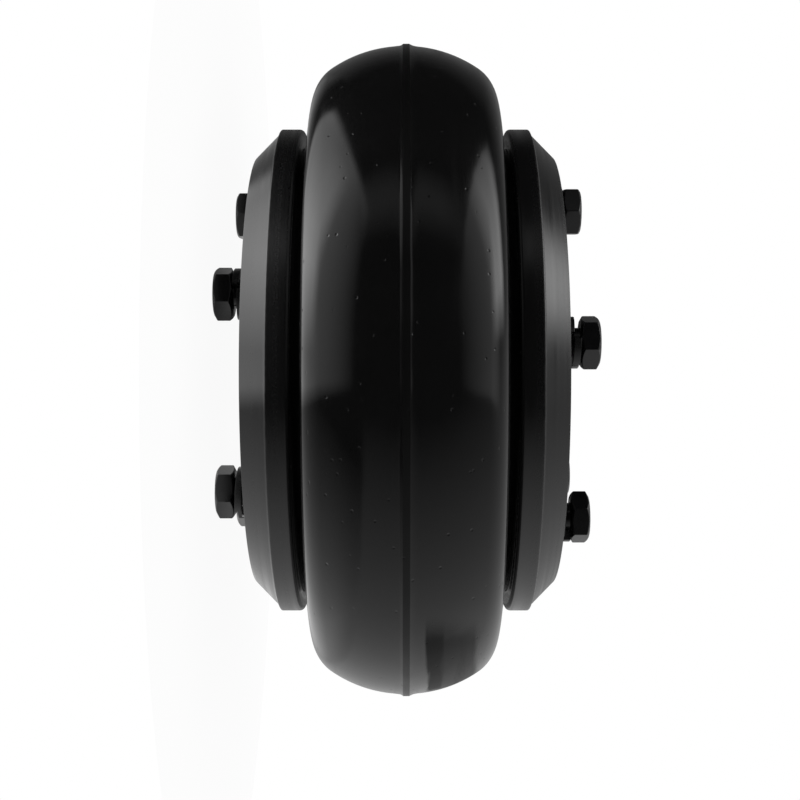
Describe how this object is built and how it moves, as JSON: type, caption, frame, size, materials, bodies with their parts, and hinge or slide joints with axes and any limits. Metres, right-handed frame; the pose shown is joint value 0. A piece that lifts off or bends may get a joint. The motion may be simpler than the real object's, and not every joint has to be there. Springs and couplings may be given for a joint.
{
  "type": "tyre coupling",
  "caption": "Flexible shaft coupling: a split rubber tyre clamped by screws between two bevelled steel flanges on keyed taper bushes.",
  "frame": {"origin": "middle of the tyre, on the shaft axis", "axes": "+Z along the shaft axis out of the upper flange; the part stands on the screw heads of the lower flange"},
  "size_m": [0.1908, 0.1908, 0.1044],
  "materials": {
    "rubber": "moulded, smooth and slightly glossy",
    "flange_steel": "turned and black phosphated",
    "ring_steel": "turned and black phosphated",
    "screw_steel": "black oxide, oiled",
    "washer_steel": "black oxide",
    "bush_iron": "turned and black phosphated"
  },
  "bodies": {
    "root": {"tyre": "rubber", "lower_flange": "flange_steel", "upper_flange": "flange_steel", "lower_clamp_ring": "ring_steel", "upper_clamp_ring": "ring_steel", "lower_clamp_screws": "screw_steel", "upper_clamp_screws": "screw_steel", "lower_spring_washers": "washer_steel", "upper_spring_washers": "washer_steel", "lower_taper_bush": "bush_iron", "upper_taper_bush": "bush_iron", "lower_bush_screws": "screw_steel", "upper_bush_screws": "screw_steel"}
  },
  "joints": []
}
